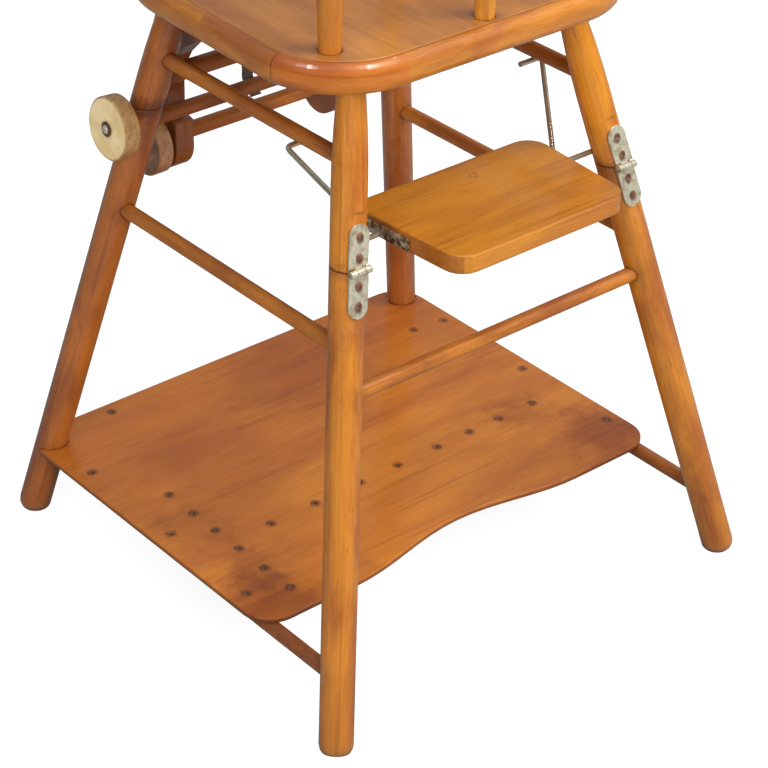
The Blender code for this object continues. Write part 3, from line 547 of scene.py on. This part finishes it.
def rim_marks(graph, colour):
    """The scarf joint on the left of the bent rim: a dark line, and a darker piece in front of it."""
    x, y, _ = graph.split(graph.position())
    left = graph.math("LESS_THAN", x, SCARF_X)
    corner = graph.math("MULTIPLY", left, graph.math("LESS_THAN", y, SCARF_Y))
    colour = graph.darken(colour, corner, SCARFED_PIECE)
    line = graph.ramp(graph.gap(y, SCARF_Y), 0.0002, 0.0010, 0.85, 0.0)
    return graph.darken(colour, graph.math("MULTIPLY", left, line), DIRT_AND_SHADE)


def panel_marks(graph, colour):
    """The fine, even stripes of rotary-cut veneer, along Y, and a band of painted shade where the panel
    dips by the rim.
    """
    position = graph.position()
    stripes = graph.noise(position, (330.0, 3.0, 3.0), 2.0, 0.7, 0.05)
    colour = graph.darken(colour, graph.ramp(stripes, 0.45, 0.70, 0.0, 0.35), VENEER_STRIPE)
    x, y, _ = graph.split(position)
    # Painted shade: a soft dark band on the left of the panel, inside the rim, where the seat dips
    ragged = graph.noise(position, (22.0, 10.0, 10.0), 3.0, 0.5)
    away = graph.gap(graph.math("MULTIPLY_ADD", ragged, 0.016, x), DISH_SHADE_X)
    behind = graph.ramp(y, -0.11, -0.08)
    shade_band = graph.math("MULTIPLY", graph.ramp(away, 0.004, 0.018, 0.55, 0.0), behind)
    return graph.darken(colour, shade_band, DISH_SHADE)


def dress_seat():
    bent_wood("seat_rim", 0.08, RIM_LIGHT, RIM_DARK, rim_marks, coat=1.0, gloss=0.035, roughness=0.36)
    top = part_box("seat_rim")[1][2]
    # Grime and painted occlusion shade round the foot of each post on the seat
    spots = [((*centre_of_foot(node), top), *POST_GRIME_AND_SHADE) for node in POSTS]
    tones = (SEAT_LIGHT, SEAT_DARK)
    finish = {"coat": 0.75, "roughness": 0.4, "wave": 0.03}
    look = {"streak": 0.30, "fleck": 0.15, "blotch": 0.25, "shade": SHEET_SHADE}
    straight_wood("seat_panel", *tones, (0.0, 1.0, 0.0), spots, panel_marks, finish, **look)
    straight_wood("back_panel", *tones, (1.0, 0.0, 0.0), finish=finish, **look)
    bent_wood("arm_hoop", 0.066, LEG_LIGHT, LEG_DARK)


# ---------------------------------------------------------------- shelf and footrest


def nail_places():
    """(x, y) of the small nails that hold the shelf to its rails and batten."""
    left = [(-0.226, y) for y in (0.155, 0.025, -0.091)]
    right = [(0.230, y) for y in (0.160, 0.035, -0.090)]
    inner = [(-0.190, y) for y in (0.078, 0.039, 0.004, -0.032, -0.071, -0.109)]
    across = [(x, BATTEN_Y) for x in (-0.143, -0.090, -0.034, 0.013, 0.064, 0.107, 0.146, 0.192)]
    return left + right + inner + across + [(-0.150, 0.232), (0.192, 0.165)]


def scorches_and_shadow(graph, colour):
    """Dark patches with ragged edges on the shelf: scorch marks, and a painted shadow where the board
    and rails shade it.
    """
    position = graph.position()
    ragged = graph.noise(position, 26.0, 5.0, 0.7)
    edge = graph.math("MULTIPLY_ADD", ragged, 0.11, -0.055)
    # One of these patches is a painted shadow, the rest are scorch marks
    for place, radius, strength in SCORCHES_AND_SHADOW:
        away = graph.math("ADD", graph.distance(position, place), edge)
        mask = graph.ramp(away, radius * 0.2, radius, strength, 0.0)
        colour = graph.darken(colour, mask, SCORCH_AND_SHADOW_TINT)
    return colour


def nail_marks(graph, colour):
    """Dirt round each nail, and a broken dark ring in it."""
    position = graph.position()
    nearest = 1.0
    for x, y in nail_places():
        away = graph.distance(position, (x, y, SHELF_TOP))
        nearest = graph.math("MINIMUM", away, nearest)
    blur = graph.noise(position, 300.0)
    halo = graph.ramp(graph.math("MULTIPLY_ADD", blur, 0.005, nearest), 0.0045, 0.0105, 0.55, 0.0)
    colour = graph.darken(colour, halo, DIRT_AND_SHADE)
    ring = graph.ramp(graph.gap(nearest, NAIL_RING), 0.0005, 0.0016, 0.9, 0.0)
    broken = graph.math("MULTIPLY", graph.ramp(blur, 0.42, 0.52), ring)
    return graph.darken(colour, broken, DIRT_AND_SHADE)


def shelf_marks(graph, colour):
    """Redder at the rear, darker on the right, scorched and with a painted shadow, with dirty nails and
    a dark thin edge.
    """
    x, y, z = graph.split(graph.position())
    colour = graph.darken(colour, graph.ramp(y, -0.05, 0.22, 0.0, 0.8), SHELF_REAR)
    colour = graph.darken(colour, graph.ramp(x, 0.04, 0.22, 0.0, 0.6), SHELF_RIGHT)
    colour = nail_marks(graph, scorches_and_shadow(graph, colour))
    below_top = graph.ramp(z, SHELF_TOP - 0.0012, SHELF_TOP - 0.0002, 0.55, 0.0)
    return graph.darken(colour, below_top, DIRT_AND_SHADE)


def dress_shelf():
    along = (1.0, 0.0, 0.0)
    finish = {"coat": 0.55, "gloss": 0.13, "roughness": 0.45, "wave": 0.03}
    look = {"streak": 0.40, "fleck": 0.25, "blotch": 0.40, "shade": SHEET_SHADE}
    straight_wood("shelf", SHELF_LIGHT, SHELF_DARK, along, (), shelf_marks, finish, **look)


def footrest_marks(graph, colour):
    """The ring of a small plug near the middle, and painted shade on the faces that look left and
    right.
    """
    ring = graph.gap(graph.distance(graph.position(), PLUG), PLUG_RADIUS)
    colour = graph.darken(colour, graph.ramp(ring, 0.0002, 0.0010, 0.6, 0.0), DIRT_AND_SHADE)
    # Painted shade on the faces that look left and right
    facing = graph.split(graph.node("ShaderNodeTexCoord").outputs["Normal"])[0]
    side = graph.ramp(graph.math("ABSOLUTE", facing), 0.45, 0.80, 0.0, 0.9)
    return graph.darken(colour, side, BOARD_END_SHADE)


def dress_footrest():
    look = {"marks": footrest_marks, "finish": {"gloss": 0.14}, "shade": SHEET_SHADE}
    straight_wood("footrest_board", BOARD_LIGHT, BOARD_DARK, (1.0, 0.0, 0.0), **look)


# ---------------------------------------------------------------- wheels


def around_axle(graph, wheel):
    """Coordinates with Z along the wheel's axle: the direction in which it is thinnest."""
    return straight_grain(graph, axis_of(wheel)[0], main_directions(mesh_points(wheel))[2])


def wheel_wood(node, faces, tread):
    """A turned wheel with mottled faces, a worn tread, dents, and grime round the axle."""
    graph = material(f"{node}_wood")
    grain = around_axle(graph, node)
    radius = graph.radius(grain)
    broad = graph.ramp(graph.noise(grain, 45.0, 4.0, 0.6), 0.35, 0.7)
    specks = graph.noise(grain, (120.0, 120.0, 200.0), 5.0, 0.7)
    worn = graph.mix(graph.ramp(specks, 0.30, 0.74), *tread)
    outside = graph.ramp(radius, 0.0270, 0.0292)
    colour = graph.mix(outside, graph.mix(broad, *faces), worn)
    colour = graph.darken(colour, graph.ramp(radius, 0.007, 0.011, 0.45, 0.0), HUB_GRIME)
    dents = graph.ramp(graph.noise(grain, 160.0, 3.0, 0.6), 0.60, 0.72, 0.0, 0.35)
    colour = graph.darken(colour, dents, WHEEL_DENTS)
    use(node, varnish(graph, colour, specks, coat=0.35, gloss=0.15, roughness=0.45))


def dress_wheels():
    for kind, tones in WHEEL_TONES.items():
        for side in SIDES:
            wheel_wood(f"{kind}_wheel_{side}", *tones)


# ---------------------------------------------------------------- metal


def metal(name, light, dark, roughness, spots=(), spread=(0.42, 0.68), metallic=1.0, pitted=0.5):
    """Worn metal: two tones in patches, fine pitting, and rust round the given spots."""
    graph = material(name)
    position = graph.position()
    patch = graph.ramp(graph.noise(position, 130.0, 5.0, 0.68), *spread)
    colour = graph.mix(patch, light, dark)
    pits = graph.noise(position, 800.0, 3.0, 0.7)
    colour = graph.darken(colour, graph.ramp(pits, 0.60, 0.74, 0.0, pitted), METAL_PITS)
    for place, radius in spots:
        away = graph.math("MULTIPLY_ADD", pits, radius * 0.5, graph.distance(position, place))
        rusty = graph.ramp(away, radius * 0.7, radius * 1.2, 0.75, 0.0)
        colour = graph.mix(rusty, colour, RUST_DARK)
    surface = graph.bump(pits, 0.3 * pitted, 0.0004, graph.smooth(METAL_EDGE))
    rough = graph.ramp(patch, 0.0, 1.0, roughness, roughness + 0.2)
    return graph.finish(Base_Color=colour, Metallic=metallic, Roughness=rough, Normal=surface)


def leaf_metal(node):
    """Worn nickel, rusty round each screw of this hinge leaf."""
    level, side = node.split("_")[2:]
    spots = [(foremost(screw), 0.0052) for screw in SCREWS if f"{level}_{side}" in screw]
    return metal(f"{node}_steel", NICKEL_LIGHT, NICKEL_DARK, 0.36, spots, metallic=0.6)


def plate_metal(node):
    """A rusty plate with some of its plating left."""
    spread = (0.40, 0.60)
    return metal(f"{node}_steel", PLATE_LIGHT, PLATE_DARK, 0.5, spread=spread, metallic=0.7)


def axle_metal(node):
    """A bright domed screw on a dark washer."""
    graph = material(f"{node}_steel")
    radius = graph.radius(around_axle(graph, node.replace("_axle", "")))
    pits = graph.noise(graph.position(), 700.0, 3.0, 0.7)
    bright = graph.mix(graph.ramp(pits, 0.5, 0.7), AXLE_LIGHT, AXLE_DARK)
    colour = graph.mix(graph.ramp(radius, 0.0034, 0.0046), bright, WASHER)
    surface = graph.bump(pits, 0.15, 0.0004, graph.smooth(METAL_EDGE))
    return graph.finish(Base_Color=colour, Metallic=0.5, Roughness=0.3, Normal=surface)


def wire_metal():
    """Smooth bright wire, a little worn."""
    look = {"spread": (0.52, 0.74), "metallic": 0.85, "pitted": 0.15}
    return metal("wire_steel_worn", WIRE_LIGHT, WIRE_DARK, 0.16, **look)


def dress_metal():
    pin = metal("pin_steel", PIN_LIGHT, PIN_DARK, 0.36, metallic=0.8)
    spring = metal("spring_steel", SPRING_LIGHT, SPRING_DARK, 0.5, metallic=0.5)
    wire = wire_metal()
    for node in NODES:
        if node.startswith("hinge_leaf"):
            use(node, leaf_metal(node))
        elif node.startswith("hinge_pin"):
            use(node, pin)
        elif "axle" in node:
            use(node, axle_metal(node))
        elif node.startswith("footrest_plate"):
            use(node, plate_metal(node))
        elif node.startswith("footrest_wire"):
            use(node, wire)
        elif node == "spring_catch":
            use(node, spring)


# ---------------------------------------------------------------- nails and screws


def lathe(name, profile, steps):
    """A turned solid from its (radius, height) profile, top and bottom on the axis."""
    mesh = bpy.data.meshes.new(name)
    shape = bmesh.new()
    rings = []
    for radius, height in profile:
        if radius == 0:
            rings.append([shape.verts.new((0, 0, height))])
            continue
        angles = [2 * pi * i / steps for i in range(steps)]
        rings.append([shape.verts.new((radius * cos(a), radius * sin(a), height)) for a in angles])
    for upper, lower in zip(rings, rings[1:]):
        for i in range(steps):
            j = (i + 1) % steps
            places = ((upper, i), (upper, j), (lower, j), (lower, i))
            corners = [ring[place % len(ring)] for ring, place in places]
            shape.faces.new(list(dict.fromkeys(corners)))
    bmesh.ops.recalc_face_normals(shape, faces=shape.faces)
    shape.to_mesh(mesh)
    shape.free()
    mesh.shade_smooth()
    mesh.set_sharp_from_angle(angle=radians(40))
    made = bpy.data.objects.new(name, mesh)
    bpy.context.scene.collection.objects.link(made)
    return made


def cut_slot(piece):
    """Cuts a driver slot across the top of a screw, with a disc squeezed flat."""
    cutter = lathe("slot_cutter", SLOT_PROFILE, 24)
    cutter.scale = (1.0, SLOT_SQUEEZE, 1.0)
    bpy.context.view_layer.update()
    cut = piece.modifiers.new("slot", "BOOLEAN")
    cut.operation = "DIFFERENCE"
    cut.object = cutter
    cut.solver = "EXACT"
    evaluated = piece.evaluated_get(bpy.context.evaluated_depsgraph_get())
    mesh = bpy.data.meshes.new_from_object(evaluated)
    piece.modifiers.clear()
    piece.data = mesh
    bpy.data.objects.remove(cutter, do_unlink=True)


def slotted_screw(node, turn):
    """A round-head screw with a driver slot, in place of the plain CAD one."""
    points = mesh_points(node)
    axis = Vector(main_directions(points)[0])
    if axis.y > 0:
        axis.negate()
    heights = points @ np.array(axis)
    top = points[heights > heights.max() - 0.00005].mean(0)
    reach = heights.max() - heights.min()
    shank = ((SHANK_RADIUS, -reach * 0.8), (0, -reach))
    piece = lathe(f"{node}_slotted", SCREW_HEAD + shank, 28)
    cut_slot(piece)
    place = axis.to_track_quat("Z", "Y").to_matrix().to_4x4() @ Matrix.Rotation(turn, 4, "Z")
    place.translation = Vector(top)
    piece.matrix_world = place
    return piece


def drive_nails():
    steel = metal("nail_steel", NAIL_LIGHT, NAIL_DARK, 0.5)
    for number, (x, y) in enumerate(nail_places(), start=1):
        head = lathe(f"shelf_nail_{number}", NAIL_PROFILE, 12)
        head.location = (x, y, SHELF_TOP)
        head.data.materials.append(steel)
        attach(head, "lower_frame")


def drive_screws():
    rust = metal("rust", RUST_LIGHT, RUST_DARK, 0.5, metallic=0.4)
    body_of = {"upper": "seat_frame", "lower": "lower_frame"}
    for number, node in enumerate(SCREWS):
        piece = slotted_screw(node, FIRST_SLOT_TURN + SLOT_TURN_STEP * number)
        piece.data.materials.clear()
        piece.data.materials.append(rust)
        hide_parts(node)
        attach(piece, body_of[node.split("_")[2]])


# ---------------------------------------------------------------- camera, floor and light


def make_camera():
    back = Vector((
        sin(CAMERA_YAW) * cos(CAMERA_PITCH),
        -cos(CAMERA_YAW) * cos(CAMERA_PITCH),
        sin(CAMERA_PITCH),
    ))
    level = Vector((cos(CAMERA_YAW), sin(CAMERA_YAW), 0.0))
    rise = back.cross(level)
    right = level * cos(CAMERA_ROLL) + rise * sin(CAMERA_ROLL)
    up = rise * cos(CAMERA_ROLL) - level * sin(CAMERA_ROLL)
    data = bpy.data.cameras.new("camera")
    data.lens = CAMERA_LENS
    data.sensor_width = 36.0
    data.clip_start = 0.05
    camera = bpy.data.objects.new("camera", data)
    matrix = Matrix((right, up, back)).transposed().to_4x4()
    matrix.translation = CAMERA_PLACE
    camera.matrix_world = matrix
    bpy.context.scene.collection.objects.link(camera)
    bpy.context.scene.camera = camera


def make_floor():
    mesh = bpy.data.meshes.new("floor")
    shape = bmesh.new()
    bmesh.ops.create_grid(shape, x_segments=1, y_segments=1, size=FLOOR_REACH)
    shape.to_mesh(mesh)
    shape.free()
    floor = bpy.data.objects.new("floor", mesh)
    bpy.context.scene.collection.objects.link(floor)
    graph = material("floor_paint")
    mesh.materials.append(graph.finish(Base_Color=FLOOR_GREY, Roughness=1.0, Specular_IOR_Level=0.0))
    # The camera sees a near-white floor, which throws back less light than it seems to.
    seen = graph.node("ShaderNodeLightPath").outputs["Is Camera Ray"]
    glow = graph.node("ShaderNodeEmission", {"Strength": graph.math("MULTIPLY", seen, FLOOR_GLOW)})
    both = graph.node("ShaderNodeAddShader", {0: graph.shader.outputs[0], 1: glow.outputs[0]})
    graph.feed(graph.tree.nodes["Material Output"].inputs["Surface"], both.outputs[0])


def softbox(name, place, width, height, power, adds):
    """A rectangular light turned to the chair, which adds either matt light or glints."""
    data = bpy.data.lights.new(name, "AREA")
    data.shape = "RECTANGLE"
    data.size = width
    data.size_y = height
    data.energy = power
    light = bpy.data.objects.new(name, data)
    light.location = place
    light.rotation_euler = (Vector(LIT_POINT) - Vector(place)).to_track_quat("-Z", "Y").to_euler()
    light.visible_diffuse = adds == "matt"
    light.visible_glossy = adds == "glints"
    bpy.context.scene.collection.objects.link(light)


def make_world():
    """White to the camera; as light, bright above and dim below."""
    world = bpy.data.worlds.new("studio")
    graph = Graph(world, "Background")
    direction = graph.node("ShaderNodeTexCoord").outputs["Generated"]
    bright = tuple(Vector(BRIGHT_SIDE).normalized())
    lean = graph.vector("DOT_PRODUCT", direction, bright, out="Value")
    light = graph.ramp(lean, *WORLD_SPREAD, WORLD_DIM, WORLD_BRIGHT)
    seen = graph.node("ShaderNodeLightPath").outputs["Is Camera Ray"]
    graph.finish(Color=(1.0, 1.0, 1.0, 1.0), Strength=graph.math("MAXIMUM", light, seen))
    bpy.context.scene.world = world
    bpy.context.scene.view_settings.view_transform = "Standard"


dress_legs()
dress_rails_and_posts()
dress_seat()
dress_shelf()
drive_nails()
dress_footrest()
dress_wheels()
dress_metal()
drive_screws()
make_camera()
make_floor()
for row in LIGHTS:
    softbox(*row)
make_world()
